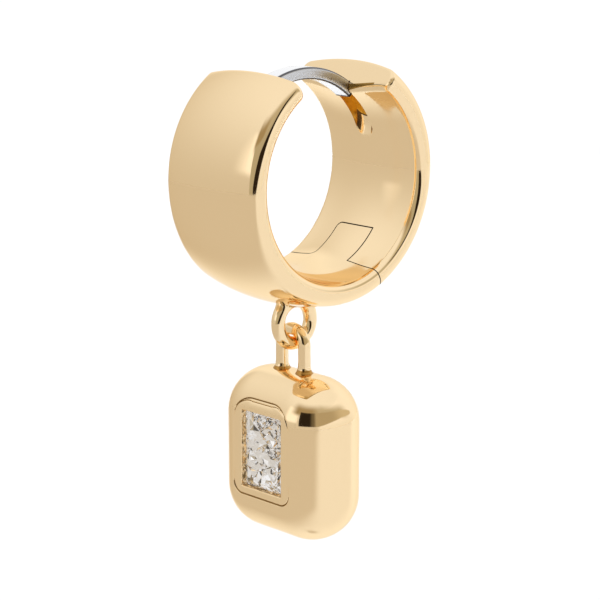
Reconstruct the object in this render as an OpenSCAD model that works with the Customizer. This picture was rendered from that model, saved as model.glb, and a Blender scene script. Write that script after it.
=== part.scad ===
// Huggie earring: a round domed band in two hinged halves, a curved ear post across the
// gap at its top, and a cushion shaped drop with a cut stone, hung from a ring below.
// X runs along the hoop's axis, the front looks along -Y and +Z is up. The origin is on
// the centreline of the ear post, at the top of the hoop.

/* [Band] */
// Radius of the hoop to the middle of the band's rims
band_r = 5.4; // [5.3:0.05:5.6]
// Width of the band along the hoop's axis
band_w = 6.4; // [5.8:0.1:7]
// Thickness of the band at its rims
rim_t = 0.92; // [0.86:0.02:1]
// Rise of the domed outer face from the rims to the middle
outer_rise = 0.43; // [0.35:0.01:0.5]
// Rise of the domed inner face from the rims to the middle
inner_rise = 0.5; // [0.4:0.01:0.52]
// Radius of the rounded rims
rim_round = 0.62; // [0.58:0.01:0.7]
// Angle of the front half's upper end, from the top towards the back
front_end_a = -34; // [-40:1:-30]
// Angle of the back half's upper end, from the top towards the back
back_end_a = 33; // [28:1:36]

/* [Hinge] */
// Angle of the seam under the hinge, from the top towards the back
seam_a = 155.5; // [154:0.5:157]
// Open width of the seams between the two halves
seam_gap = 0.06; // [0.05:0.01:0.08]
// Angle of the hinge pin, from the top towards the back
pin_a = 144; // [143:0.5:145]
// Radius of the hoop to the hinge pin
pin_r = 5.6; // [5.5:0.05:5.65]
// Diameter of the hinge pin
pin_d = 0.7; // [0.6:0.05:0.8]
// Length of the hinge pin
pin_len = 4.8; // [4:0.1:5]
// Radial clearance of the pin in the back half
pin_clear = 0.03; // [0.02:0.01:0.06]
// Width of the front half's tongue between the ears
tongue_w = 2.34; // [2:0.02:2.6]
// Radius of the tongue's rounded end about the pin
knuckle_r = 1.65; // [1.6:0.01:1.7]

/* [Ear post] */
// Width of the post along the hoop's axis
post_w = 0.95; // [0.85:0.05:1]
// Thickness of the post
post_t = 0.52; // [0.45:0.01:0.55]
// Radius of the post's curve, which puts the origin on its centreline
post_r = 4.95; // [4.93:0.01:4.97]
// Distance that the post's curve is set towards the front
post_fwd = 0.15; // [0:0.01:0.2]
// Angle of the post's tip
post_tip_a = 37; // [35:1:38]
// Angle that the post goes into the front half
post_seat_a = 22; // [18:1:26]
// Gap around a piece in its seat
seat_gap = 0.02; // [0.01:0.01:0.03]
// Width of the slot that takes the post
slot_w = 1.12; // [1.1:0.02:1.2]
// Radius of the cutter that leaves the slot
slot_cut_r = 2.6; // [2.55:0.01:2.65]
// Place of the cutter's centre towards the back
slot_cut_y = 1.74; // [1.7:0.01:1.8]
// Place of the cutter's centre above the hoop's centre
slot_cut_z = 2.41; // [2.38:0.01:2.45]

/* [Hanging ring and bail] */
// Place of the ring, the bail and the drop, towards the back
hang_y = -0.47; // [-0.6:0.01:-0.4]
// Radius of the hanging ring to the middle of its wire
ring_r = 1.07; // [1.04:0.01:1.12]
// Wire diameter of the hanging ring
ring_wire = 0.68; // [0.64:0.01:0.7]
// Depth of the ring's centre below the hoop's centre
ring_below = 7.2; // [7.15:0.01:7.25]
// Radius of the bail's arch to the middle of its wire
bail_r = 0.8; // [0.78:0.01:0.9]
// Wire diameter of the bail
bail_wire = 0.62; // [0.56:0.01:0.64]
// Gap between the bail and the ring that it hangs on
bail_gap = 0.05; // [0.03:0.01:0.07]

/* [Drop] */
// Width of the drop along the hoop's axis
drop_w = 7.4; // [7:0.1:7.8]
// Thickness of the drop from front to back
drop_t = 4.6; // [4.4:0.1:4.8]
// Height of the drop without its bail
drop_h = 8.32; // [8:0.02:8.6]
// Depth of the drop's middle below the hoop's centre
drop_below = 13.83; // [13.7:0.01:14]
// Depth of the flat front panel cut on the cushion
panel_cut = 0.1; // [0.05:0.01:0.2]
// Width of the window
window_w = 2.85; // [2.6:0.05:3]
// Height of the window
window_h = 3.9; // [3.6:0.05:4.1]
// Height of the window's middle above the drop's middle
window_up = 0.33; // [0.2:0.01:0.4]
// Depth of the pocket behind the window
pocket_d = 2.2; // [2.1:0.05:2.4]

/* [Stone] */
// Depth of the stone's table behind the front panel
table_sink = 0.12; // [0.1:0.01:0.2]
// Gap between the stone's girdle and the window
stone_gap = 0.03; // [0.02:0.01:0.05]
// Width of the bevel around the table
crown_in = 0.3; // [0.25:0.01:0.4]
// Height of the crown above the girdle
crown_h = 0.2; // [0.15:0.01:0.3]
// Thickness of the girdle
girdle_h = 0.12; // [0.1:0.01:0.2]
// Depth of the pavilion below the girdle
pavilion_h = 1.5; // [1.2:0.05:1.6]

/* [Hidden] */
$fn = 96;

gold = [0.91, 0.78, 0.56];
steel = [0.78, 0.79, 0.81];
clear = [0.9, 0.92, 0.95, 0.7];

band_half = band_w / 2;
outer_mid_r = band_r + rim_t / 2 + outer_rise;
inner_mid_r = band_r - rim_t / 2 - inner_rise;
outer_dome_r = (pow(band_half, 2) + pow(outer_rise, 2)) / (2 * outer_rise);
inner_dome_r = (pow(band_half, 2) + pow(inner_rise, 2)) / (2 * inner_rise);
seam_half_a = asin(seam_gap / 2 / band_r);
notch_w = tongue_w + 2 * seam_gap;
notch_r = knuckle_r + seam_gap;
shoulder_from_pin = pin_r * sin(seam_a + seam_half_a - pin_a);
ear_r = shoulder_from_pin - 0.75 * seam_gap;
past = 1;
ring_z = -ring_below;
ring_foot_z = ring_z - ring_r + ring_wire / 2;
bail_top_z = ring_foot_z + bail_gap + bail_wire / 2;
bail_mid_z = bail_top_z - bail_r;
edge_r = drop_t / 2;
panel_from_mid = drop_t / 2 - panel_cut;
panel_y = hang_y - panel_from_mid;
window_z = window_up - drop_below;
stone_w = window_w - 2 * stone_gap;
stone_h = window_h - 2 * stone_gap;
slab = 0.01;

// Puts the hoop's centre below the origin
module at_hoop() translate([0, 0, -post_r]) children();

// Places children on the hinge pin, with +Z pointing out and +Y towards the seam
module at_pin() rotate([-pin_a, 0, 0]) translate([0, 0, pin_r]) children();

// Sweeps a section about the hoop's axis, between two angles from the top to the back
module sweep(from_a, to_a) {
  rotate([0, -90, 0])
    rotate_extrude(angle = to_a - from_a, start = from_a)
      children();
}

// Cylinder along the hoop's axis
module cross_cylinder(r, h) rotate([0, 90, 0]) cylinder(r = r, h = h, center = true);

// Section of the band: two shallow domes back to back, with rounded rims
module band_section(width = band_w) {
  intersection() {
    translate([outer_mid_r - outer_dome_r, 0]) circle(r = outer_dome_r);
    translate([inner_mid_r + inner_dome_r, 0]) circle(r = inner_dome_r);
    union() {
      translate([band_r, 0]) square([band_r, band_w - 2 * rim_round], center = true);
      for (side = [-1, 1])
        translate([band_r, side * (band_half - rim_round)]) circle(r = rim_round);
    }
    translate([band_r, 0]) square([band_r, width], center = true);
  }
}

// Section of the post or, with a gap around it, of its socket
module post_section(gap = 0) {
  translate([post_r, 0]) square([post_t + 2 * gap, post_w + 2 * gap], center = true);
}

// Tongue of the front half, rounded about the pin
module tongue() {
  intersection() {
    sweep(pin_a - 25, seam_a + 2) band_section(tongue_w);
    at_pin() cross_cylinder(knuckle_r, tongue_w + past);
  }
}

// Ring that is soldered under the band, in the plane of the hoop
module hanging_ring() {
  translate([0, hang_y, ring_z])
    rotate([0, 90, 0])
      rotate_extrude()
        translate([ring_r, 0]) circle(d = ring_wire);
}

module front_half() {
  color(gold) at_hoop() difference() {
    union() {
      sweep(seam_a + seam_half_a - 360, front_end_a) band_section();
      tongue();
      hanging_ring();
    }
    translate([0, -post_fwd, 0])
      sweep(front_end_a - post_seat_a, front_end_a + 5) post_section(seat_gap);
    at_pin() cross_cylinder(pin_d / 2 + seat_gap / 2, tongue_w + past);
  }
}

module ear_post() {
  color(steel) at_hoop() translate([0, -post_fwd, 0])
    sweep(front_end_a - post_seat_a + 0.5, post_tip_a) post_section();
}

module hinge_pin() {
  color(gold) at_hoop() at_pin() cross_cylinder(pin_d / 2, pin_len);
}

// Pocket that a round cutter leaves for the tip of the post
module post_slot() {
  translate([0, slot_cut_y, slot_cut_z]) cross_cylinder(slot_cut_r, slot_w);
}

// Relief at the outside of the ears' ends, so that they turn past the front half
module ear_relief() {
  at_pin() difference() {
    translate([-band_half - past, 0.3, -0.1]) cube([band_w + 2 * past, 2, 2]);
    cross_cylinder(ear_r, band_w + 4 * past);
  }
}

module back_half() {
  color(gold) at_hoop() difference() {
    sweep(back_end_a, seam_a - seam_half_a) band_section();
    post_slot();
    at_pin() cross_cylinder(notch_r, notch_w);
    at_pin() cross_cylinder(pin_d / 2 + pin_clear, pin_len + 0.1);
    ear_relief();
  }
}

// Cuts the flat front panel on one piece of the cushion
module flat_front() {
  difference() {
    children();
    translate([-drop_w, -panel_from_mid - drop_t, -drop_h])
      cube([2 * drop_w, drop_t, 2 * drop_h]);
  }
}

// Cushion body: balls at the four corners, joined by round bars and a slab
module cushion() {
  mid_w = drop_w - drop_t;
  mid_h = drop_h - drop_t;
  for (side = [-1, 1]) {
    flat_front() translate([side * mid_w / 2, 0, 0])
      cylinder(r = edge_r, h = mid_h, center = true);
    flat_front() translate([0, 0, side * mid_h / 2]) cross_cylinder(edge_r, mid_w);
    for (end = [-1, 1])
      flat_front() translate([side * mid_w / 2, 0, end * mid_h / 2]) sphere(r = edge_r);
  }
  flat_front() cube([mid_w, drop_t, mid_h], center = true);
}

// Bail: an arch of wire with two legs that are soldered into the drop's top
module bail() {
  leg_foot_z = drop_h / 2 - drop_below - 0.7;
  translate([0, 0, bail_mid_z])
    rotate([90, 0, 0])
      rotate_extrude(angle = 180)
        translate([bail_r, 0]) circle(d = bail_wire);
  for (side = [-1, 1])
    translate([side * bail_r, 0, leg_foot_z])
      cylinder(d = bail_wire, h = bail_mid_z - leg_foot_z);
}

module drop() {
  color(gold) at_hoop() union() {
    difference() {
      translate([0, hang_y, -drop_below]) cushion();
      translate([-window_w / 2, panel_y - past, window_z - window_h / 2])
        cube([window_w, pocket_d + past, window_h]);
    }
    translate([0, hang_y, 0]) bail();
  }
}

// One thin layer of the stone, at a depth behind its table
module stone_layer(w, h, depth) {
  translate([-w / 2, depth, -h / 2]) cube([w, slab, h]);
}

module stone() {
  girdle_y = crown_h;
  keel_y = crown_h + girdle_h + pavilion_h;
  color(clear) at_hoop() translate([0, panel_y + table_sink, window_z]) hull() {
    stone_layer(stone_w - 2 * crown_in, stone_h - 2 * crown_in, 0);
    stone_layer(stone_w - 0.8 * crown_in, stone_h - 0.8 * crown_in, 0.7 * crown_h);
    stone_layer(stone_w, stone_h, girdle_y);
    stone_layer(stone_w, stone_h, girdle_y + girdle_h);
    stone_layer(stone_w * 0.62, stone_h * 0.7, girdle_y + girdle_h + 0.55 * pavilion_h);
    stone_layer(slab, stone_h - stone_w, keel_y);
  }
}

front_half();
ear_post();
hinge_pin();
back_half();
drop();
stone();
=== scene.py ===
"""Huggie earring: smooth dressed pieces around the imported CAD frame, in metres."""

import math

import bmesh
import bpy
import numpy as np
from mathutils import Matrix, Vector


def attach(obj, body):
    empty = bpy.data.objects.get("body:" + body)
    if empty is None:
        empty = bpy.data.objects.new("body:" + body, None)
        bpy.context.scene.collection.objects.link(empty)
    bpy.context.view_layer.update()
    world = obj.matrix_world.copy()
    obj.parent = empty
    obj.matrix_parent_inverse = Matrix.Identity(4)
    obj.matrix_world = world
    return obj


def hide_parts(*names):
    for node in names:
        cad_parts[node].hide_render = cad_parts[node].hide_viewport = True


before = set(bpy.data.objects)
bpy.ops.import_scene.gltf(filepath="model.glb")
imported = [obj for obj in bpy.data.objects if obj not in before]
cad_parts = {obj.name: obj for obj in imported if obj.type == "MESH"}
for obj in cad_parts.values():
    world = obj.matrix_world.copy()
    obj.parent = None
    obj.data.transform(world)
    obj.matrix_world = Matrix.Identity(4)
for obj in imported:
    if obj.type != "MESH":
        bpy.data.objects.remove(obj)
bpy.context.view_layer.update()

# Values of the part's source, in metres and degrees
MM = 0.001
BAND_R = 5.4 * MM
BAND_HALF = 3.2 * MM
RIM_T = 0.92 * MM
OUTER_RISE = 0.43 * MM
FRONT_END_A = -34.0
BACK_END_A = 33.0
SEAM_A = 155.5
SEAM_GAP = 0.06 * MM
PIN_A = 144.0
PIN_R = 5.6 * MM
TONGUE_HALF = 1.17 * MM
KNUCKLE_R = 1.65 * MM
POST_T = 0.52 * MM
POST_R = 4.95 * MM
POST_FWD = 0.15 * MM
SLOT_HALF = 0.56 * MM
HANG_Y = -0.47 * MM
RING_R = 1.07 * MM
RING_WIRE_R = 0.34 * MM
RING_Z = -7.2 * MM
BAIL_R = 0.8 * MM
BAIL_WIRE_R = 0.31 * MM
BAIL_MID_Z = -8.37 * MM
DROP_HALF_W = 3.7 * MM
DROP_HALF_H = 4.16 * MM
EDGE_R = 2.3 * MM
DROP_Z = -13.83 * MM
PANEL_DEPTH = 2.2 * MM
WINDOW_HALF_W = 1.425 * MM
WINDOW_HALF_H = 1.95 * MM
WINDOW_UP = 0.33 * MM
POCKET_D = 2.2 * MM
TABLE_SINK = 0.12 * MM
STONE_GAP = 0.03 * MM

OUTER_MID_R = BAND_R + RIM_T / 2 + OUTER_RISE
OUTER_DOME_R = (BAND_HALF**2 + OUTER_RISE**2) / (2 * OUTER_RISE)
HALF_GAP_A = math.degrees(SEAM_GAP / 2 / BAND_R)
NOTCH_HALF = TONGUE_HALF + SEAM_GAP
NOTCH_R = KNUCKLE_R + SEAM_GAP
EAR_R = PIN_R * math.sin(math.radians(SEAM_A + HALF_GAP_A - PIN_A)) - 0.75 * SEAM_GAP

# Finer shapes that only the dressed model has
INNER_RISE = 0.06 * MM
INNER_BELL = 0.24 * MM
INNER_MID_R = BAND_R - RIM_T / 2 - INNER_RISE
INNER_DOME_R = (BAND_HALF**2 + INNER_RISE**2) / (2 * INNER_RISE)
OUTER_RIM_R = 0.6 * MM
INNER_RIM_R = 0.4 * MM
BACK_SWELL_A, BACK_SWELL = 60.0, (0.115 * MM, 0.05 * MM)
FRONT_SWELL_A, FRONT_SWELL_SPREAD, FRONT_SWELL = -138.0, 28.0, 0.11 * MM
FRONT_EARLY_A = 2.2
FRONT_ROUND = (0.2 * MM, 0.3 * MM)
BACK_EARLY_A = 0.6
BACK_ROUND = (0.1 * MM, 0.34 * MM)
# Half width and rows of the painted dark reflection along the back half's inner end edge
DARK_REFLECTION_HALF = 2.2 * MM
SLOT_ROOF_R = 5.2 * MM
SLOT_END_A = 71.5
SLOT_END_LEN = 1.1 * MM
SLOT_END_ROUND, SLOT_END_POWER = 0.8, 1.2
# Angles where the slot's painted orange reflection and its painted shade line end
SLOT_ROOF_A, SLOT_SHADE_A, SLOT_WALL_A = 60.0, 61.2, 69.5
CORNER_R = 0.3 * MM
POST_W = 1.02 * MM
POST_SEAT_A, POST_TIP_A = 14.0, 39.8
POST_THICKER = 0.2
POST_CORNER_R = 0.1 * MM
# The last stretch of the post's tip is painted black as shadow
POST_TIP_R, POST_DARK_TIP = 0.05 * MM, 0.12 * MM
RING_FLARE, RING_FLARE_REACH = 0.16 * MM, 0.13 * MM
BAIL_FLARE, BAIL_FLARE_REACH = 0.14 * MM, 0.12 * MM
BAIL_FOOT = 0.35 * MM
# Wire faces closer than this to what they meet are solder, coloured as a painted reflection
SOLDER_REFLECTION_GAP = 0.12 * MM
HANG_X = -0.07 * MM
PANEL_HALF_W, PANEL_HALF_H, PANEL_UP = 1.97 * MM, 2.475 * MM, 0.455 * MM
PANEL_ROUND = (1.2 * MM, 0.6 * MM)
LIP_R = 0.07 * MM
GROOVE_DEPTH, GROOVE_HALF = 0.07 * MM, 0.03 * MM
GROOVE_IN, GROOVE_OUT = -0.2 * MM, 0.16 * MM
GROOVE_FROM, GROOVE_FADE = 1.1 * MM, 1.0 * MM
GROOVE_APART, GROOVE_MEETS_X = 0.15 * MM, 1.7 * MM
# Depth share of the second groove, and the share from which the groove's faces are painted dark as
# shade
GROOVE_SECOND, GROOVE_DARK = 0.9, 0.6
STONE_ROWS = ((0.3 * MM, 0.0), (0.13 * MM, 0.08 * MM), (0.0, 0.2 * MM), (0.0, 0.32 * MM))
STONE_CELLS = (10, 15)
STONE_JITTER, STONE_ROUGH = 0.1 * MM, 0.07 * MM
STONE_BOWL = (0.35 * MM, 0.1 * MM, -0.12 * MM)
EDGE_BEVEL, EDGE_BEVEL_A = 0.03 * MM, 32.0
WELD = 0.0002 * MM

# Fineness of the meshes
X_STEP = 0.16 * MM
A_STEP = math.radians(1.25)
RIM_STEPS = 12
CORNER_STEPS = 5
ROUND_ROWS, DARK_REFLECTION_ROWS = 7, 3
TONGUE_ROWS, EAR_ROWS, SLOT_ROWS = 14, 18, 40
MID_ROWS = round(math.radians(59) / A_STEP)
POST_ROWS = 70
RING_ROWS, BAIL_ROWS, WIRE_SIDES = 96, 48, 32
SIDE_STEPS, TURN_STEPS = 14, 24
GROOVE_ROWS, EDGE_ROWS = 19, 60
EVEN = np.linspace(0, 1, 9)

# Numbers of the band's materials, after the polished one: the seam faces' dark joint, also a
# painted shade line in the slot;
# a painted orange reflection in the slot; a painted dark reflection on the back half's end
SEAM_AND_SHADE, SLOT_REFLECTION, END_DARK_REFLECTION = 1, 2, 3


# Section of the band, as x and radius with the outward normal

RIM_OUT = (BAND_HALF - OUTER_RIM_R, OUTER_MID_R - OUTER_DOME_R
           + math.sqrt((OUTER_DOME_R - OUTER_RIM_R)**2 - (BAND_HALF - OUTER_RIM_R)**2))
RIM_IN = (BAND_HALF - INNER_RIM_R, INNER_MID_R + INNER_DOME_R
          - math.sqrt((INNER_DOME_R - INNER_RIM_R)**2 - (BAND_HALF - INNER_RIM_R)**2))
OUTER_JOIN = math.asin(RIM_OUT[0] / (OUTER_DOME_R - OUTER_RIM_R))
INNER_JOIN = math.pi - math.asin(RIM_IN[0] / (INNER_DOME_R - INNER_RIM_R))
OUTER_X = OUTER_DOME_R * math.sin(OUTER_JOIN)
INNER_X = INNER_DOME_R * math.sin(INNER_JOIN)


def outer_point(x):
    n = x / OUTER_DOME_R
    c = np.sqrt(1 - n * n)
    return np.stack([x, OUTER_MID_R - OUTER_DOME_R + OUTER_DOME_R * c, n, c], -1)


def inner_point(x):
    """The inner side is nearly flat, with a soft swelling along its middle."""
    n = x / INNER_DOME_R
    c = np.sqrt(1 - n * n)
    turn = math.pi * np.clip(x / INNER_X, -1, 1)
    r = INNER_MID_R + INNER_DOME_R * (1 - c) - INNER_BELL * (1 + np.cos(turn)) / 2
    slope = n / c + INNER_BELL * math.pi / (2 * INNER_X) * np.sin(turn)
    size = np.sqrt(1 + slope**2)
    return np.stack([x, r, slope / size, -1 / size], -1)


def rim_strip(side, shares):
    """The rounded rim from the outer to the inner dome, with a short flat between its arcs."""
    out_b = np.linspace(OUTER_JOIN, math.pi / 2, RIM_STEPS + 1)
    in_b = np.linspace(math.pi / 2, INNER_JOIN, RIM_STEPS + 1)
    parts = []
    for beta, (x, r), size in ((out_b, RIM_OUT, OUTER_RIM_R), (in_b, RIM_IN, INNER_RIM_R)):
        sn, c = np.sin(beta), np.cos(beta)
        parts.append(np.stack([side * (x + size * sn), r + size * c, side * sn, c], -1))
    flat = between(parts[0][-1], parts[1][0], shares[1:-1])
    return np.concatenate([parts[0], flat, parts[1]])


def paired_rim(side):
    """The rim's outer and inner arc, both from the domes to the flat."""
    rim = rim_strip(side, EVEN)
    return rim[:RIM_STEPS + 1], rim[::-1][:RIM_STEPS + 1]


def between(a, b, shares):
    return [a + (b - a) * k for k in shares]


def spaced(marks, step):
    """Values through all the marks, at most a step apart."""
    out = [marks[0]]
    for a, b in zip(marks, marks[1:]):
        n = max(1, math.ceil(abs(b - a) / step))
        out += [a + (b - a) * k / n for k in range(1, n + 1)]
    return np.array(out)


def columns_to_rims(marks):
    """The same number of columns on the outer and the inner dome, from rim to rim."""
    a = spaced([-OUTER_X] + marks + [OUTER_X], X_STEP)
    keep = int(np.argmin(abs(a - marks[0]))), int(np.argmin(abs(a - marks[-1])))
    b = a.copy()
    b[:keep[0] + 1] = np.linspace(-INNER_X, a[keep[0]], keep[0] + 1)
    b[keep[1]:] = np.linspace(a[keep[1]], INNER_X, len(a) - keep[1])
    return a, b


def corner_marks(at, towards, size):
    """Columns that follow a rounded corner, dense where it turns."""
    turns = np.radians(np.linspace(0, 90, CORNER_STEPS + 1))
    return [at + towards * size * (1 - math.cos(t)) for t in turns]


def corner_ease(u, size):
    """How far a rounded corner stands back, at a distance from its side wall."""
    u = np.clip(u, 0, size)
    return size - np.sqrt(np.maximum(size**2 - (size - u)**2, 0))


def swell(phi, normal_r):
    """The hoop is very slightly oval: how far a surface stands out at an angle."""
    turn = np.arctan2(np.sin(phi), np.cos(phi))
    back = np.maximum(np.cos(turn - math.radians(BACK_SWELL_A)), 0)**3
    front = np.exp(-((turn - math.radians(FRONT_SWELL_A)) / math.radians(FRONT_SWELL_SPREAD))**2)
    outer = BACK_SWELL[0] * back + FRONT_SWELL * front
    inner = BACK_SWELL[1] * back
    share = (1 + normal_r) / 2
    return outer * share + inner * (1 - share)


def place(points, phi, lift=0.0):
    """Row frame points of section points at an angle from the top, moved along their normals."""
    x = points[..., 0] + lift * points[..., 2]
    r = points[..., 1] + lift * points[..., 3] + swell(phi, points[..., 3])
    return np.stack([x, r * np.sin(phi), r * np.cos(phi) - POST_R], -1)


class Shell:
    """Grids of points that are welded into one closed mesh."""

    def __init__(self):
        self.verts, self.faces, self.parts = [], [], []

    def grid(self, points, wrap=False, part=0):
        points = np.asarray(points, float)
        rows, cols = points.shape[:2]
        base = len(self.verts)
        self.verts += [tuple(p) for p in points.reshape(-1, 3)]
        part = np.broadcast_to(part, (rows - 1, cols if wrap else cols - 1))
        for i in range(rows - 1):
            for j in range(cols if wrap else cols - 1):
                k = (j + 1) % cols
                a, b = base + i * cols, base + (i + 1) * cols
                self.faces.append((a + j, a + k, b + k, b + j))
                self.parts.append(int(part[i, j]))

    def polygon(self, points, part=0):
        base = len(self.verts)
        self.verts += [tuple(p) for p in points]
        self.faces.append(tuple(range(base, base + len(points))))
        self.parts.append(part)

    def tube(self, rows, part=0):
        """Rows of closed loops, with flat ends."""
        self.grid(rows, wrap=True, part=part)
        self.polygon(rows[0])
        self.polygon(rows[-1])

    def build(self, name, smooth=True):
        mesh = bpy.data.meshes.new(name)
        mesh.from_pydata(self.verts, [], self.faces)
        mesh.polygons.foreach_set("material_index", self.parts)
        bm = bmesh.new()
        bm.from_mesh(mesh)
        bmesh.ops.remove_doubles(bm, verts=bm.verts, dist=WELD)
        bmesh.ops.dissolve_degenerate(bm, edges=bm.edges, dist=WELD)
        bmesh.ops.recalc_face_normals(bm, faces=bm.faces)
        for f in bm.faces:
            f.smooth = smooth
        bm.to_mesh(mesh)
        bm.free()
        ob = bpy.data.objects.new(name, mesh)
        bpy.context.scene.collection.objects.link(ob)
        return ob


# Angles of the band's faces at x and radius, from the top towards the back

SEAM_REF = math.radians(SEAM_A)
HALF_GAP = math.radians(HALF_GAP_A)
PAST_ALL = 9.0
EAR_ROUND_FROM = PIN_R - 0.1 * MM


def arc_angle(r, size, side):
    """Angle at which a circle about the hinge pin cuts a radius."""
    c = (r**2 + PIN_R**2 - size**2) / (2 * r * PIN_R)
    return math.radians(PIN_A) + side * np.arccos(np.clip(c, -1, 1))


def shoulder_angle(x, r):
    back = corner_ease(-TONGUE_HALF - x, CORNER_R + SEAM_GAP) * (x <= -TONGUE_HALF + WELD)
    return SEAM_REF + HALF_GAP - np.where(x < 0, back, 0) / r


def tongue_angle(x, r):
    back = corner_ease(x + TONGUE_HALF, CORNER_R)
    return arc_angle(r, KNUCKLE_R, -1) + np.where(x < 0, back, 0) / r


def notch_angle(x, r):
    back = corner_ease(x + NOTCH_HALF, CORNER_R + SEAM_GAP)
    return arc_angle(r, NOTCH_R, -1) + np.where(x < 0, back, 0) / r


def notch_angles(points, inner_share):
    """Angle of the notch's end at a share of the way from the outer to the inner side."""
    x = np.clip(points[:, 0], -NOTCH_HALF, NOTCH_HALF)
    a, b = notch_angle(x, outer_point(x)[:, 1]), notch_angle(x, inner_point(x)[:, 1])
    return a + (b - a) * inner_share


def ear_angle(x, r):
    back = corner_ease(-NOTCH_HALF - x, CORNER_R)
    flat = SEAM_REF - HALF_GAP - np.where(x < 0, back, 0) / r
    round_end = np.where(r > EAR_ROUND_FROM, arc_angle(r, EAR_R, 1), PAST_ALL)
    return np.minimum(flat, round_end)


def slot_end(x):
    """Angle at which the slot runs out in a column: its end is round."""
    side = SLOT_HALF - np.sqrt(np.maximum(SLOT_HALF**2 - x**2, 0))
    return math.radians(SLOT_END_A) - SLOT_END_ROUND * side / INNER_MID_R


def slot_depth(x, phi):
    """Share of the slot's depth that is left in a column, before it runs out."""
    turn = SLOT_END_LEN / INNER_MID_R
    t = np.clip((phi - slot_end(x) + turn) / turn, 0, 1)
    return (1 - t * t)**SLOT_END_POWER


# Rows of the band, and faces across it

TAPER_X = (0.6 * MM, 2.3 * MM, INNER_X)
TAPER_POWER = (0.55, 2.0, 1.0)


def round_size(points, sizes):
    """Size of the rounding at a half's free end, from the outer to the inner side."""
    share = (1 + points[:, 3]) / 2
    return sizes[1] + (sizes[0] - sizes[1]) * share


def round_turns(points, direction):
    """Turns of a rounded end. The first rows of the back half's inner edge get narrower
    away from the slot, because they carry its painted dark reflection line."""
    power = np.interp(abs(points[:, 0]), TAPER_X, TAPER_POWER)
    power = np.where((points[:, 3] < 0) & (direction > 0), power, 1.0)
    return [math.radians(90) * (1 - (k / ROUND_ROWS)**power) for k in range(ROUND_ROWS + 1)]


def swept(points, a, b, rows, first=0):
    """Rows of points from one angle to another, in even steps."""
    return [place(points, a + (b - a) * k / rows) for k in range(first, rows + 1)]


def from_to(points, start, end, rows):
    """Rows of points from one face of the band to another."""
    x, r = points[:, 0], points[:, 1]
    return swept(points, start(x, r), end(x, r), rows)


def sweep_rows(points, start, ends, steps, sizes):
    """Rows from a rounded free end to each point's own end angle."""
    direction = 1 if np.mean(ends) > start else -1
    size = round_size(points, sizes)
    rows = [place(points, start + direction * size * (1 - np.sin(t)) / BAND_R,
                  -size * (1 - np.cos(t))) for t in round_turns(points, direction)]
    return rows + swept(points, start + direction * size / BAND_R, ends, steps, 1)


def end_cap(upper, lower, start, sizes, shares):
    """The flat of a free end, between paired points of the outer and the inner side."""
    up = place(upper, start, -round_size(upper, sizes))
    low = place(lower, start, -round_size(lower, sizes))
    return between(up, low, shares)


def cap_rows(upper, lower, angle, shares):
    """Face across the section, between paired points of its outer and inner side."""
    return [place(p, angle(p[:, 0], p[:, 1])) for p in between(upper, lower, shares)]


# The two halves of the band

def make_front():
    shell = Shell()
    marks = sorted(corner_marks(-TONGUE_HALF, -1, CORNER_R + SEAM_GAP)
                   + corner_marks(-TONGUE_HALF, 1, CORNER_R)[1:] + [TONGUE_HALF])
    out_x, in_x = columns_to_rims(marks)
    outer, inner = outer_point(out_x), inner_point(in_x)
    start = math.radians(FRONT_END_A + FRONT_EARLY_A)
    turn = 2 * math.pi
    steps = round((turn - SEAM_REF + start) / A_STEP)
    for points in (outer, rim_strip(1, EVEN), inner[::-1], rim_strip(-1, EVEN)[::-1]):
        ends = shoulder_angle(points[:, 0], points[:, 1]) - turn
        shell.grid(sweep_rows(points, start, ends, steps, FRONT_ROUND))
    shell.grid(end_cap(outer, inner, start, FRONT_ROUND, EVEN))
    for side in (-1, 1):
        shell.grid(end_cap(*paired_rim(side), start, FRONT_ROUND, EVEN))
        shell.grid(cap_rows(*paired_rim(side), shoulder_angle, EVEN), part=SEAM_AND_SHADE)
        beyond = side * out_x >= TONGUE_HALF - WELD
        shell.grid(cap_rows(outer[beyond], inner[beyond], shoulder_angle, EVEN), part=SEAM_AND_SHADE)
    middle = abs(out_x) <= TONGUE_HALF + WELD
    for points in (outer[middle], inner[middle]):
        shell.grid(from_to(points, shoulder_angle, tongue_angle, TONGUE_ROWS))
    shell.grid(cap_rows(outer[middle], inner[middle], tongue_angle, EVEN), part=SEAM_AND_SHADE)
    for pick in (0, -1):
        wall = np.array(between(outer[middle][pick], inner[middle][pick], EVEN))
        shell.grid(from_to(wall, shoulder_angle, tongue_angle, TONGUE_ROWS), part=SEAM_AND_SHADE)
    return shell.build("band_front")


def slot_roof(under, start, ends, below):
    """Rows of the slot's roof over the rows of its open side, and their angles."""
    x = under[:, 0]
    begin = start + BACK_ROUND[1] / BAND_R
    angles = [start + BACK_ROUND[1] * (1 - np.sin(t)) / BAND_R for t in round_turns(under, 1)]
    angles += [begin + (ends - begin) * k / SLOT_ROWS for k in range(1, SLOT_ROWS + 1)]
    rows = []
    for phi, low in zip(angles, below):
        high = np.stack([x, SLOT_ROOF_R * np.sin(phi), SLOT_ROOF_R * np.cos(phi) - POST_R], -1)
        rows.append(low + (high - low) * slot_depth(x, phi)[:, None])
    return rows, np.degrees(np.mean(angles, 1))


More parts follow.
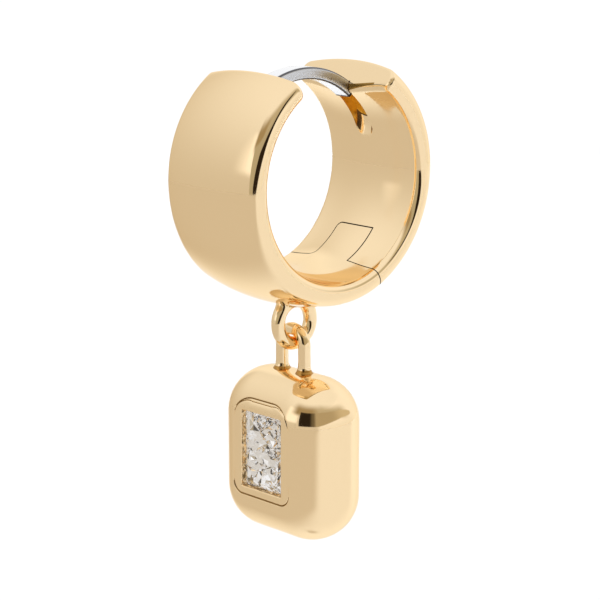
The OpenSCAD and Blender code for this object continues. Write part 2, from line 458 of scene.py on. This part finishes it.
def make_back():
    shell = Shell()
    marks = sorted(corner_marks(-NOTCH_HALF, -1, CORNER_R)
                   + corner_marks(-NOTCH_HALF, 1, CORNER_R + SEAM_GAP)[1:]
                   + [-SLOT_HALF, SLOT_HALF, NOTCH_HALF])
    out_x, in_x = columns_to_rims(marks)
    outer, inner = outer_point(out_x), inner_point(in_x)
    start = math.radians(BACK_END_A - BACK_EARLY_A)

    def add_rows(points, inner_share, is_inner=False, ears=False):
        x = points[:, 0]
        a = slot_end(x if is_inner else np.full_like(x, SLOT_HALF))
        b = notch_angles(points, inner_share)
        rows = sweep_rows(points, start, a, SLOT_ROWS, BACK_ROUND)
        rows += swept(points, a, b, MID_ROWS, 1)
        part = np.zeros((len(rows) - 1, len(points) - 1), int)
        if is_inner:
            # These rows get a painted dark reflection, dark brown
            part[:DARK_REFLECTION_ROWS, abs(x[1:] + x[:-1]) < 2 * DARK_REFLECTION_HALF] = END_DARK_REFLECTION
        shell.grid(rows, part=part)
        if ears:
            shell.grid(swept(points, b, ear_angle(x, points[:, 1]), EAR_ROWS))

    # Rows across the flat of the end, one of them where the slot's roof meets it
    first_cap = end_cap(outer, inner, start, BACK_ROUND, (0, 1))
    edge = int(np.argmin(abs(out_x - SLOT_HALF)))
    far, near = (math.hypot(p[edge][1], p[edge][2] + POST_R) for p in first_cap)
    part = (far - SLOT_ROOF_R) / (far - near)
    shares = np.sort(np.append(np.delete(EVEN, np.argmin(abs(EVEN - part))), part))

    middle = abs(out_x) <= NOTCH_HALF + WELD
    add_rows(outer[middle], 0.0)
    share = np.linspace(0, 1, len(rim_strip(1, shares)))
    for side in (-1, 1):
        beyond = side * out_x >= NOTCH_HALF - WELD
        add_rows(outer[beyond], 0.0, ears=True)
        add_rows(inner[beyond], 1.0, is_inner=True, ears=True)
        add_rows(rim_strip(side, shares), share, ears=True)
        beside = middle & (side * out_x >= SLOT_HALF - WELD)
        add_rows(inner[beside], 1.0, is_inner=True)
        shell.grid(cap_rows(outer[beyond], inner[beyond], ear_angle, shares), part=SEAM_AND_SHADE)
        shell.grid(cap_rows(*paired_rim(side), ear_angle, shares), part=SEAM_AND_SHADE)
        shell.grid(end_cap(*paired_rim(side), start, BACK_ROUND, shares))
        wing = side * out_x >= SLOT_HALF - WELD
        shell.grid(end_cap(outer[wing], inner[wing], start, BACK_ROUND, shares))

    # The slot, and the inner side beyond its end
    slotted = abs(in_x) <= SLOT_HALF + WELD
    under = inner[slotted]
    ends = slot_end(under[:, 0])
    shell.grid(swept(under, ends, notch_angles(under, 1.0), MID_ROWS))
    below = sweep_rows(under, start, ends, SLOT_ROWS, BACK_ROUND)
    roof, turns = slot_roof(under, start, ends, below)
    roof[0] = first_cap[0][slotted] + (first_cap[1] - first_cap[0])[slotted] * part
    turns = turns[1:]
    # The slot's roof is painted orange as a reflection up to its roof angle, with a painted shade
    # line just past that and along its far side
    parts = np.zeros((len(turns), len(under) - 1), int)
    parts[turns < SLOT_SHADE_A] = SEAM_AND_SHADE
    parts[turns < SLOT_WALL_A, 0] = SEAM_AND_SHADE
    parts[turns < SLOT_ROOF_A] = SLOT_REFLECTION
    shell.grid(roof, part=parts)
    deep = (shares[shares >= part] - part) / (1 - part)
    # The slot's walls are painted orange as a reflection up to their own angles
    for pick, last in ((0, SLOT_WALL_A), (-1, SLOT_ROOF_A)):
        wall = [between(high[pick], low[pick], deep) for high, low in zip(roof, below)]
        shell.grid(wall, part=np.where(turns < last, SLOT_REFLECTION, 0)[:, None])
    shell.grid(between(first_cap[0][slotted], roof[0], shares[shares <= part] / part))

    # The notch for the tongue
    shell.grid(cap_rows(outer[middle], inner[middle], notch_angle, shares), part=SEAM_AND_SHADE)
    for pick in (0, -1):
        wall = np.array(between(outer[middle][pick], inner[middle][pick], shares))
        shell.grid(from_to(wall, notch_angle, ear_angle, EAR_ROWS), part=SEAM_AND_SHADE)
    return shell.build("band_back")


# Post, ring and bail

# Sideways part of the normal from which a face is the post's side or its corner; the side gets
# painted shade, the corner darker painted shade
POST_SIDE_TURN, POST_CORNER_TURN = 0.97, 0.2


def rounded_box_loop(half_w, half_h, radii, straight, turn):
    """Closed loop of a rounded rectangle, with its outward normals. Its upper and lower
    corners may have different radii."""
    high_r, low_r = np.broadcast_to(radii, 2)
    corners = ((1, 1, 0), (-1, 1, 90), (-1, -1, 180), (1, -1, 270))
    pts, nrm = [], []
    for k, (sx, sy, a0) in enumerate(corners):
        radius = high_r if sy > 0 else low_r
        cx, cy = sx * (half_w - radius), sy * (half_h - radius)
        for t in np.radians(a0 + np.linspace(0, 90, turn + 1)):
            pts.append((cx + radius * math.cos(t), cy + radius * math.sin(t)))
            nrm.append((math.cos(t), math.sin(t)))
        nx, ny, _ = corners[(k + 1) % 4]
        ahead_r = high_r if ny > 0 else low_r
        last = np.array(pts[-1])
        t = math.radians(a0 + 90)
        ahead = np.array((nx * (half_w - ahead_r) + ahead_r * math.cos(t),
                          ny * (half_h - ahead_r) + ahead_r * math.sin(t)))
        for s in range(1, straight):
            pts.append(tuple(last + (ahead - last) * s / straight))
            nrm.append((math.cos(t), math.sin(t)))
    return np.array(pts), np.array(nrm)


def make_post():
    shell = Shell()
    pts, nrm = rounded_box_loop(POST_W / 2, POST_T / 2, POST_CORNER_R, 3, 4)
    start, end = math.radians(FRONT_END_A - POST_SEAT_A), math.radians(POST_TIP_A)
    stop = end - POST_TIP_R / POST_R
    stations = [(start + (stop - start) * k / POST_ROWS, 0.0) for k in range(POST_ROWS + 1)]
    for t in np.radians(np.linspace(15, 90, 6)):
        stations.append((stop + POST_TIP_R * math.sin(t) / POST_R, POST_TIP_R * (1 - math.cos(t))))
    rows = []
    for phi, lift in stations:
        p = pts - nrm * lift
        r = POST_R + p[:, 1] * (1 + POST_THICKER * (phi - start) / (end - start))
        rows.append(np.stack([p[:, 0], r * math.sin(phi) - POST_FWD,
                              r * math.cos(phi) - POST_R], -1))
    shell.tube(rows)
    ob = shell.build("ear_post_strip")
    # Faces are coloured by which way they face: flats a lit steel, sides a shaded copy, corners
    # darker painted shade, the tip black painted shadow
    tip = end - POST_DARK_TIP / POST_R
    for f in ob.data.polygons:
        turned = abs(f.normal.x)
        at_tip = math.atan2(f.center.y + POST_FWD, f.center.z + POST_R) > tip
        side, corner = turned > POST_SIDE_TURN, turned > POST_CORNER_TURN
        f.material_index = 3 if at_tip else 1 if side else 2 if corner else 0
    return ob


def wire_rows(path, side, wire_r, gap_at, flare, reach):
    """Loops of a round wire along centres and outward directions, and which of their points
    are solder, coloured as a painted reflection. The wire flares where it comes near what it is
    soldered to."""
    rows, solder_reflection_mask = [], []
    for centre, out in path:
        row, near = [], []
        for u in np.linspace(0, 2 * math.pi, WIRE_SIDES, endpoint=False):
            n = np.array(out) * math.cos(u) + np.array(side) * math.sin(u)
            p = np.array(centre) + n * wire_r
            gap = gap_at(p)
            near.append(gap < SOLDER_REFLECTION_GAP)
            row.append(p + n * flare * math.exp(-max(gap, 0) / reach))
        rows.append(row)
        solder_reflection_mask.append(near)
    return rows, np.array(solder_reflection_mask, int)


def make_ring():
    shell = Shell()
    path = []
    for t in np.linspace(0, 2 * math.pi, RING_ROWS, endpoint=False):
        out = np.array((0, math.sin(t), math.cos(t)))
        path.append((np.array((0, HANG_Y, RING_Z)) + out * RING_R, out))
    rows, solder_reflection_mask = wire_rows(
        path, (1.0, 0, 0), RING_WIRE_R,
        lambda p: math.hypot(p[1], p[2]) - outer_point(p[0])[1], RING_FLARE, RING_FLARE_REACH)
    shell.grid(np.array(rows + rows[:1]) - (0, 0, POST_R), wrap=True, part=solder_reflection_mask)
    return shell.build("hanging_ring")


def make_bail():
    shell = Shell()
    top = DROP_Z + DROP_HALF_H
    legs = np.linspace(top - BAIL_FOOT, BAIL_MID_Z, BAIL_ROWS // 2 + 2)[:-1]
    path = [((BAIL_R, 0, z), (1, 0, 0)) for z in legs]
    for t in np.linspace(0, math.pi, BAIL_ROWS + 1):
        path.append(((BAIL_R * math.cos(t), 0, BAIL_MID_Z + BAIL_R * math.sin(t)),
                     (math.cos(t), 0, math.sin(t))))
    path += [((-BAIL_R, 0, z), (-1, 0, 0)) for z in legs[::-1]]
    rows, solder_reflection_mask = wire_rows(path, (0, 1.0, 0), BAIL_WIRE_R, lambda p: p[2] - top,
                               BAIL_FLARE, BAIL_FLARE_REACH)
    shell.tube(np.array(rows) + (HANG_X, HANG_Y, -POST_R), part=solder_reflection_mask[:-1])
    return shell.build("drop_bail")


# Drop: its window and front panel, the groove round the panel, and the cushion's edge

CORE_W, CORE_H = DROP_HALF_W - EDGE_R, DROP_HALF_H - EDGE_R
PANEL_EDGE_A = 38
POINT = 0.001 * MM


def drop_depth(pts):
    """Depth of the cushion in front of its middle plane, flat at the panel."""
    out = np.hypot(*np.maximum(abs(pts) - (CORE_W, CORE_H), 0).T)
    return np.minimum(np.sqrt(np.maximum(EDGE_R**2 - out**2, 0)), PANEL_DEPTH)


def loop(half_w, half_h, radius, up=0.0):
    pts, nrm = rounded_box_loop(half_w, half_h, radius, SIDE_STEPS, TURN_STEPS)
    return pts + np.array((0, up)), nrm


def cushion_loop(size):
    """Outline of the cushion at a size of its rounding, from its core."""
    return loop(CORE_W + size, CORE_H + size, max(size, POINT))[0]


def make_drop():
    shell = Shell()
    rows = []

    def add(pts, y):
        y = np.broadcast_to(y, (len(pts),))
        rows.append(np.stack([pts[:, 0] + HANG_X, HANG_Y + y, pts[:, 1] + DROP_Z - POST_R], -1))

    window, out = loop(WINDOW_HALF_W, WINDOW_HALF_H, LIP_R, WINDOW_UP)
    add(window, POCKET_D - PANEL_DEPTH)
    add(window, LIP_R * 3 - PANEL_DEPTH)
    for t in np.radians(np.linspace(0, 90, 7)):
        add(window + out * LIP_R * (1 - math.cos(t)), LIP_R * (1 - math.sin(t)) - PANEL_DEPTH)
    edge = window + out * LIP_R
    panel, p_out = loop(PANEL_HALF_W, PANEL_HALF_H, PANEL_ROUND, PANEL_UP)
    for pts in between(edge, panel + p_out * GROOVE_IN, (1 / 3, 2 / 3)):
        add(pts, -drop_depth(pts))

    # The groove fades out at the panel's sides, and it is double above the panel
    share = np.clip((abs(panel[:, 1] - PANEL_UP) - GROOVE_FROM) / GROOVE_FADE, 0, 1)
    share = share * share * (3 - 2 * share)
    upper = share * (panel[:, 1] > PANEL_UP)
    apart = GROOVE_APART * np.clip((GROOVE_MEETS_X - abs(panel[:, 0])) / MM, 0, 1)
    # The deepest faces of the groove are coloured dark brown as painted shade
    dark = {}
    for s in np.linspace(GROOVE_IN, GROOVE_OUT, GROOVE_ROWS):
        pts = panel + p_out * s
        groove = share * np.exp(-(s / GROOVE_HALF)**2)
        second = GROOVE_SECOND * upper * np.exp(-((s + apart) / GROOVE_HALF)**2)
        groove = np.maximum(groove, second)
        dark[len(rows)] = groove > GROOVE_DARK
        add(pts, -drop_depth(pts) + GROOVE_DEPTH * groove)

    far = cushion_loop(EDGE_R * math.sin(math.radians(PANEL_EDGE_A)))
    for pts in between(panel + p_out * GROOVE_OUT, far, np.arange(1, 7) / 6):
        add(pts, -drop_depth(pts))
    for t in np.radians(np.linspace(PANEL_EDGE_A, 180, EDGE_ROWS)[1:]):
        add(cushion_loop(EDGE_R * math.sin(t)), -EDGE_R * math.cos(t))
    back, _ = loop(CORE_W, CORE_H, POINT)
    for k in (0.66, 0.33):
        add(back * k, EDGE_R)
    parts = np.zeros((len(rows) - 1, len(rows[0])), int)
    for k, deep in dark.items():
        parts[k] += deep
    shell.tube(rows, part=parts)
    return shell.build("drop_body")


# Stone: table, stepped crown, girdle and a pavilion of pointed facets

def make_stone():
    shell = Shell()
    hw, hh = WINDOW_HALF_W - STONE_GAP, WINDOW_HALF_H - STONE_GAP
    y0 = HANG_Y - PANEL_DEPTH + TABLE_SINK
    z0 = DROP_Z + WINDOW_UP - POST_R
    nx, nz = STONE_CELLS
    chance = np.random.default_rng(11)
    us, vs = np.linspace(-1, 1, nx + 1), np.linspace(-1, 1, nz + 1)

    def sheet(w, h, depth, jitter=0.0, rough=0.0):
        """Points of a rectangular sheet, its inner points moved by chance."""
        u, v = np.meshgrid(us, vs, indexing="ij")
        inner = (abs(u) < 1 - 1e-6) & (abs(v) < 1 - 1e-6)
        moved = chance.uniform(-1, 1, (3, nx + 1, nz + 1)) * inner
        return np.stack([HANG_X + u * w + moved[0] * jitter, y0 + depth(u, v) + moved[1] * rough,
                         z0 + v * h + moved[2] * jitter], -1)

    def rim(inset, deep):
        p = sheet(hw - inset, hh - inset, lambda u, v: 0 * u + deep)
        return np.concatenate([p[:-1, 0], p[-1, :-1], p[:0:-1, -1], p[0, :0:-1]])

    table, crown, girdle, low = (rim(inset, deep) for inset, deep in STONE_ROWS)
    shell.polygon(table)
    n = len(table)
    for upper, lower in ((table, crown), (crown, girdle)):
        for k in range(n):
            a, b, c, d = upper[k], upper[(k + 1) % n], lower[(k + 1) % n], lower[k]
            shell.polygon([a, b, c] if k % 2 else [a, b, d])
            shell.polygon([a, c, d] if k % 2 else [b, c, d])
    shell.grid([girdle, low], wrap=True)

    def pavilion(u, v):
        deepest, along_x, along_z = STONE_BOWL
        bowl = 1 - np.maximum(abs(u), abs(v))**2
        return STONE_ROWS[-1][1] + bowl * (deepest + along_x * u + along_z * v)

    back = sheet(hw, hh, pavilion, STONE_JITTER, STONE_ROUGH)
    for i in range(nx):
        for j in range(nz):
            a, b, c, d = back[i, j], back[i + 1, j], back[i + 1, j + 1], back[i, j + 1]
            rising = chance.random() < 0.5
            shell.polygon([a, b, c] if rising else [a, b, d], 1)
            shell.polygon([a, c, d] if rising else [b, c, d], 1)
    return shell.build("cut_stone", smooth=False)


# Materials

def new_material(name, colour, **values):
    m = bpy.data.materials.new(name)
    m.use_nodes = True
    shader = m.node_tree.nodes["Principled BSDF"]
    shader.inputs["Base Color"].default_value = (*colour, 1)
    for key, value in values.items():
        shader.inputs[key.replace("_", " ")].default_value = value
    return m


def metal(name, colour, rough, size, bump, stretch=(1, 1, 1), **values):
    """Metal with fine wear: its roughness drifts, and its face has faint waves."""
    m = new_material(name, colour, Metallic=1.0, **values)
    nodes, links = m.node_tree.nodes, m.node_tree.links
    shader = nodes["Principled BSDF"]
    coords = nodes.new("ShaderNodeTexCoord")
    mapping = nodes.new("ShaderNodeMapping")
    mapping.inputs["Scale"].default_value = stretch
    noise = nodes.new("ShaderNodeTexNoise")
    noise.inputs["Scale"].default_value = size
    noise.inputs["Detail"].default_value = 3
    spread = nodes.new("ShaderNodeMapRange")
    spread.inputs["To Min"].default_value, spread.inputs["To Max"].default_value = rough
    rise = nodes.new("ShaderNodeBump")
    rise.inputs["Strength"].default_value = bump
    rise.inputs["Distance"].default_value = 0.01 * MM
    links.new(coords.outputs["Object"], mapping.inputs["Vector"])
    links.new(mapping.outputs["Vector"], noise.inputs["Vector"])
    links.new(noise.outputs["Fac"], spread.inputs["Value"])
    links.new(spread.outputs["Result"], shader.inputs["Roughness"])
    links.new(noise.outputs["Fac"], rise.inputs["Height"])
    links.new(rise.outputs["Normal"], shader.inputs["Normal"])
    return m


def painted_light_brass(name, colour, rough):
    """Rough metal for painted shade and painted reflections: in the slot, in the groove, on the
    solder and on the back half's end. On the seam faces between the halves it is a dark joint.
    """
    return metal(name, colour, rough, 2500, 0.2)


def brushed_steel(name, colour, rough):
    """Steel with its brush lines along the post."""
    return metal(name, colour, rough, 9000, 0.4, (1, 0.06, 0.5))


gold = metal("gold_plate", (1.0, 0.79, 0.5), (0.05, 0.08), 900, 0.02,
             Specular_Tint=(0.93, 0.84, 0.7, 1))
# Painted shade: dark brown for the deepest faces of the drop's groove
groove_painted_shade = painted_light_brass("groove_painted_shade", (0.3, 0.17, 0.05), (0.3, 0.45))
# Painted reflection: orange-brown solder where the ring meets the hoop and the bail meets the drop
solder_painted_reflection = painted_light_brass("solder_painted_reflection", (0.55, 0.3, 0.08), (0.15, 0.3))
# After the gold: the seam faces' dark joint, which also paints a shade line in the slot; a painted
# orange reflection in the slot; a painted dark reflection on the back half's end
band_metals = [gold, painted_light_brass("seam_joint_and_painted_shade", (0.16, 0.09, 0.035), (0.35, 0.5)),
               painted_light_brass("slot_painted_reflection", (0.86, 0.53, 0.1), (0.3, 0.45)),
               painted_light_brass("end_painted_dark_reflection", (0.39, 0.23, 0.06), (0.2, 0.35))]
# Lit and shaded copies of one steel: lit flats, sides and corners in painted shade, the tip in
# painted shadow
post_metals = [brushed_steel("steel_lit_flat", (0.87, 0.88, 0.9), (0.08, 0.16)),
               brushed_steel("steel_side_painted_shade", (0.64, 0.66, 0.7), (0.16, 0.4)),
               brushed_steel("steel_corner_painted_shade", (0.13, 0.13, 0.14), (0.15, 0.3)),
               brushed_steel("steel_tip_painted_shadow", (0.03, 0.028, 0.025), (0.2, 0.35))]
stone_clear = new_material("stone_clear", (1, 1, 1), Roughness=0.0, IOR=1.6,
                           Transmission_Weight=1.0)
stone_back = new_material("stone_back", (0.98, 0.985, 1.0), Metallic=1.0, Roughness=0.02)
floor_paint = new_material("floor_paint", (0.885, 0.83, 0.75), Roughness=0.9,
                           Specular_IOR_Level=0.0)


def add_bevel(ob):
    m = ob.modifiers.new("edges", "BEVEL")
    m.width = EDGE_BEVEL
    m.segments = 2
    m.limit_method = "ANGLE"
    m.angle_limit = math.radians(EDGE_BEVEL_A)
    m.use_clamp_overlap = True
    m.harden_normals = True
    return ob


def dress(ob, body, materials, replaces=None):
    for m in materials:
        ob.data.materials.append(m)
    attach(ob, body)
    if replaces:
        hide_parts(replaces)


dress(add_bevel(make_front()), "front", band_metals, "front_half")
dress(add_bevel(make_back()), "back", band_metals, "back_half")
dress(make_ring(), "front", [gold, solder_painted_reflection])
dress(make_post(), "front", post_metals, "ear_post")
dress(make_bail(), "drop", [gold, solder_painted_reflection])
dress(make_drop(), "drop", [gold, groove_painted_shade], "drop")
dress(make_stone(), "drop", [stone_clear, stone_back], "stone")
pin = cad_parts["hinge_pin"]
pin.data.materials.clear()
pin.data.materials.append(gold)

# Floor
FLOOR_Z = -65 * MM
FLOOR_R = 420 * MM
bpy.ops.mesh.primitive_circle_add(vertices=128, radius=FLOOR_R, fill_type="NGON",
                                  location=(0, 0, FLOOR_Z))
floor = bpy.context.object
floor.name = "floor"
floor.data.materials.append(floor_paint)


# Studio: colours by direction, as azimuth and elevation in degrees. The dark side at the
# right is left out of the world, and two wide light panels show it, one to the hoop and one
# to the drop.

PANEL_AZ, PANEL_AT, PANEL_SIZE = 82.0, 3.0, (29.0, 26.0)
BLACK = (0.012, 0.008, 0.005)

# Lower and upper edge of each panel's dark pattern, as sums of straight ramps:
# azimuths from and to, elevations from and to
HOOP_LOW = (55, 68, -12, -8), (68, 94, 0, 10), (94, 106, 0, 18)
HOOP_HIGH = (34, 58, -4, 17), (58, 88, 0, 5), (88, 97, 0, 8)
DROP_LOW = (60, 88, -1, 5), (88, 100, 0, 2), (100, 124, 0, 2), (124, 150, 0, -4)
DROP_HIGH = (75, 105, 34, 30), (105, 125, 0, -4), (125, 145, 0, -8), (145, 158, 0, -8)


class Graph:
    """Short calls for the node tree of a light or of the world."""

    def __init__(self, tree):
        self.nodes, self.links = tree.nodes, tree.links
        self.nodes.clear()

    def wire(self, value, socket):
        if hasattr(value, "links"):
            self.links.new(value, socket)
        else:
            socket.default_value = value

    def maths(self, op, *values):
        n = self.nodes.new("ShaderNodeMath")
        n.operation = op
        for v, s in zip(values, n.inputs):
            self.wire(v, s)
        return n.outputs[0]

    def times(self, a, *others):
        for b in others:
            a = self.maths("MULTIPLY", a, b)
        return a

    def ramp(self, value, *marks, kind="SMOOTHSTEP"):
        """Goes between two marks from 0 to 1, or from a third value to a fourth."""
        n = self.nodes.new("ShaderNodeMapRange")
        n.interpolation_type = kind
        self.links.new(value, n.inputs["Value"])
        for key, v in zip(("From Min", "From Max", "To Min", "To Max"), marks):
            n.inputs[key].default_value = v
        return n.outputs["Result"]

    def steps(self, value, parts):
        """Sum of straight ramps."""
        total = None
        for marks in parts:
            part = self.ramp(value, *marks, kind="LINEAR")
            total = part if total is None else self.maths("ADD", total, part)
        return total

    def mix(self, share, a, b):
        n = self.nodes.new("ShaderNodeMix")
        n.data_type = "RGBA"
        self.wire(share, n.inputs[0])
        for v, s in ((a, n.inputs[6]), (b, n.inputs[7])):
            self.wire((*v, 1.0) if isinstance(v, tuple) else v, s)
        return n.outputs[2]

    def field(self, az, el, az_in, az_out, el_in, el_out):
        """Share that comes in and goes out over ranges of azimuth and elevation."""
        return self.times(self.times(self.ramp(az, *az_in), self.ramp(az, *az_out)),
                          self.times(self.ramp(el, *el_in), self.ramp(el, *el_out)))

    def direction(self, kind):
        """Azimuth and elevation of a direction of the world, or of a panel's points."""
        split = self.nodes.new("ShaderNodeSeparateXYZ")
        if kind == "world":
            coords = self.nodes.new("ShaderNodeTexCoord")
            self.links.new(coords.outputs["Generated"], split.inputs[0])
            x, y, z = split.outputs
        else:
            coords = self.nodes.new("ShaderNodeNewGeometry")
            self.links.new(coords.outputs["Parametric"], split.inputs[0])
            across, height = (self.maths("MULTIPLY_ADD", share, size, -size / 2)
                              for share, size in zip(split.outputs, PANEL_SIZE))
            sn, c = math.sin(math.radians(PANEL_AZ)), math.cos(math.radians(PANEL_AZ))
            square = self.maths("ADD", self.times(across, across),
                                self.maths("MULTIPLY_ADD", height, height, PANEL_AT**2))
            far = self.maths("SQRT", square)
            x = self.maths("DIVIDE", self.maths("MULTIPLY_ADD", across, c, PANEL_AT * sn), far)
            y = self.maths("DIVIDE", self.maths("MULTIPLY_ADD", across, sn, -PANEL_AT * c), far)
            z = self.maths("DIVIDE", height, far)
        deg = 180 / math.pi
        return (self.times(self.maths("ARCTAN2", x, self.times(y, -1.0)), deg),
                self.times(self.maths("ARCSINE", z), deg))


def hoop_pattern(g, az, el, room):
    """Slanting black band that the rims of the hoop show, olive on its upper side."""
    low, high = g.steps(az, HOOP_LOW), g.steps(az, HOOP_HIGH)
    olive = g.times(g.ramp(az, 3, 8), g.ramp(az, 108, 96), g.ramp(el, 32, 26))
    over = g.ramp(g.maths("SUBTRACT", el, low), 0, 2.5)
    room = g.mix(g.times(olive, over), room, (0.46, 0.42, 0.32))
    black = g.times(g.times(over, g.ramp(g.maths("SUBTRACT", high, el), 0, 3)),
                    g.times(g.ramp(az, 34, 38), g.ramp(az, 110, 106)))
    return g.mix(black, room, BLACK)


def drop_pattern(g, az, el, room):
    """Dark quad that the drop's upper edge shows, black at its left end."""
    low, high = g.steps(az, DROP_LOW), g.steps(az, DROP_HIGH)
    quad = g.times(g.ramp(g.maths("SUBTRACT", el, low), 0, 1.5),
                   g.ramp(g.maths("SUBTRACT", high, el), 0, 2), g.ramp(az, 10.5, 12.5))
    tone = g.mix(g.ramp(az, 38, 47), (0.012, 0.009, 0.006), (0.14, 0.115, 0.07))
    tone = g.mix(g.ramp(az, 48, 57), tone, (0.44, 0.375, 0.255))
    tone = g.mix(g.ramp(az, 95, 135), tone, (0.62, 0.54, 0.39))
    return g.mix(quad, room, tone)


def studio_colours(g, kind):
    az, el = g.direction(kind)
    # Height gradient of the room, with brighter walls at the right and behind
    room = g.mix(g.ramp(el, -12, 65), (0.674, 0.626, 0.558), (0.95, 0.94, 0.93))
    wall = g.mix(g.ramp(el, -10, 15), (0.9, 0.88, 0.85), (1.0, 0.99, 0.99))
    room = g.mix(g.times(g.ramp(az, 54, 66), g.ramp(el, 60, 30)), room, wall)
    rear = g.maths("ADD", g.ramp(az, -105, -118), g.ramp(az, 150, 176))
    room = g.mix(g.times(rear, g.ramp(el, 60, 30)), room, (1.03, 1.03, 1.03))
    plain = room
    # Bright strip left of the dark side, and dusk above it
    strip = g.field(az, el, (-32, -20), (8, 4), (3, 10), (40, 34))
    room = g.mix(strip, room, (1.12, 1.1, 1.08))
    tilted = g.maths("ADD", el, g.steps(az, ((75, 119, 0, 13), (119, 150, 0, 10))))
    side = g.field(az, tilted, (-22, 4), (155, 125), (57, 38), (20, 30))
    dusk = g.mix(g.ramp(az, 40, 70), (0.36, 0.28, 0.16), (0.52, 0.47, 0.36))
    room = g.mix(side, room, dusk)
    dark_side = g.field(az, el, (2, 6), (159, 155), (-9.5, -7.5), (42, 37))
    if kind == "world":
        # The camera sees a plain room past the part
        seen = g.nodes.new("ShaderNodeLightPath").outputs["Is Camera Ray"]
        return g.mix(seen, g.mix(dark_side, room, BLACK), plain)
    room = (hoop_pattern if kind == "hoop" else drop_pattern)(g, az, el, room)
    return g.mix(dark_side, (0.0, 0.0, 0.0), room)


def colour_tree(tree, kind, shader_kind, output_kind):
    g = Graph(tree)
    room = studio_colours(g, kind)
    shader = tree.nodes.new(shader_kind)
    tree.links.new(room, shader.inputs["Color"])
    out = tree.nodes.new(output_kind)
    tree.links.new(shader.outputs[0], out.inputs[0])


def make_light(name, matrix, **values):
    """Area light that the camera doesn't see."""
    data = bpy.data.lights.new(name, "AREA")
    for key, value in values.items():
        setattr(data, key, value)
    ob = bpy.data.objects.new(name, data)
    ob.matrix_world = matrix
    ob.visible_camera = False
    bpy.context.scene.collection.objects.link(ob)
    return ob


def heading(az):
    """Level direction away from the part at an azimuth."""
    return Vector((math.sin(math.radians(az)), -math.cos(math.radians(az)), 0))


def make_panel(kind, names):
    """Far light panel on the dark side that only the named objects show."""
    away, up = heading(PANEL_AZ), Vector((0, 0, 1))
    turned = Matrix((up.cross(away), up, away)).transposed().to_4x4()
    ob = make_light(kind + "_panel", Matrix.Translation(away * PANEL_AT) @ turned,
                    shape="RECTANGLE", size=PANEL_SIZE[0], size_y=PANEL_SIZE[1],
                    energy=math.pi * PANEL_SIZE[0] * PANEL_SIZE[1], use_nodes=True)
    colour_tree(ob.data.node_tree, kind, "ShaderNodeEmission", "ShaderNodeOutputLight")
    group = bpy.data.collections.new(kind + "_group")
    for name in names:
        group.objects.link(bpy.data.objects[name])
    ob.light_linking.receiver_collection = group


world = bpy.data.worlds.new("studio")
bpy.context.scene.world = world
world.use_nodes = True
colour_tree(world.node_tree, "world", "ShaderNodeBackground", "ShaderNodeOutputWorld")
make_panel("hoop", ("band_front", "band_back", "hanging_ring", "ear_post_strip", pin.name))
make_panel("drop", ("drop_body", "drop_bail", "cut_stone"))

# Lights that shine straight down on the far half of the floor alone
BACKDROP_AZ, BACKDROP_AT, BACKDROP_UP, BACKDROP_APART = 155, 0.26, 0.3, 0.275
BACKDROP_SIZE, BACKDROP_SPREAD, BACKDROP_TINT = (0.56, 0.55), 12, (0.62, 0.76, 1.0)
away = heading(BACKDROP_AZ)
across = Vector((away.y, -away.x, 0))
for light_name, offset, power in (("backdrop_left", -BACKDROP_APART, 0.7),
                                  ("backdrop_right", BACKDROP_APART, 0.44)):
    at = away * BACKDROP_AT + across * offset + Vector((0, 0, FLOOR_Z + BACKDROP_UP))
    turned = Matrix.Rotation(math.radians(BACKDROP_AZ - 90), 4, "Z")
    light = make_light(light_name, Matrix.Translation(at) @ turned, shape="RECTANGLE",
                       size=BACKDROP_SIZE[0], size_y=BACKDROP_SIZE[1], energy=power,
                       color=BACKDROP_TINT, spread=math.radians(BACKDROP_SPREAD))
    light.visible_glossy = False
    light.visible_transmission = False

# Camera at the photo's angle
CAM_AZ, CAM_EL = math.radians(46.79), math.radians(12.53)
CAM_AT = Vector((69.75, -65.60, 10.13)) * MM
ca, sa, ce, se = math.cos(CAM_AZ), math.sin(CAM_AZ), math.cos(CAM_EL), math.sin(CAM_EL)
axes = Matrix(((ca, sa, 0), (-sa * se, ca * se, ce), (sa * ce, -ca * ce, se)))
cam_data = bpy.data.cameras.new("camera")
cam_data.lens = 120.0
cam_data.sensor_width = 36.0
cam_data.clip_start = 0.001
cam_data.clip_end = 10.0
camera = bpy.data.objects.new("camera", cam_data)
bpy.context.scene.collection.objects.link(camera)
camera.matrix_world = Matrix.Translation(CAM_AT) @ axes.transposed().to_4x4()
bpy.context.scene.camera = camera

scene = bpy.context.scene
scene.view_settings.view_transform = "Standard"
scene.cycles.max_bounces = 16
scene.cycles.glossy_bounces = 10
scene.cycles.transmission_bounces = 12
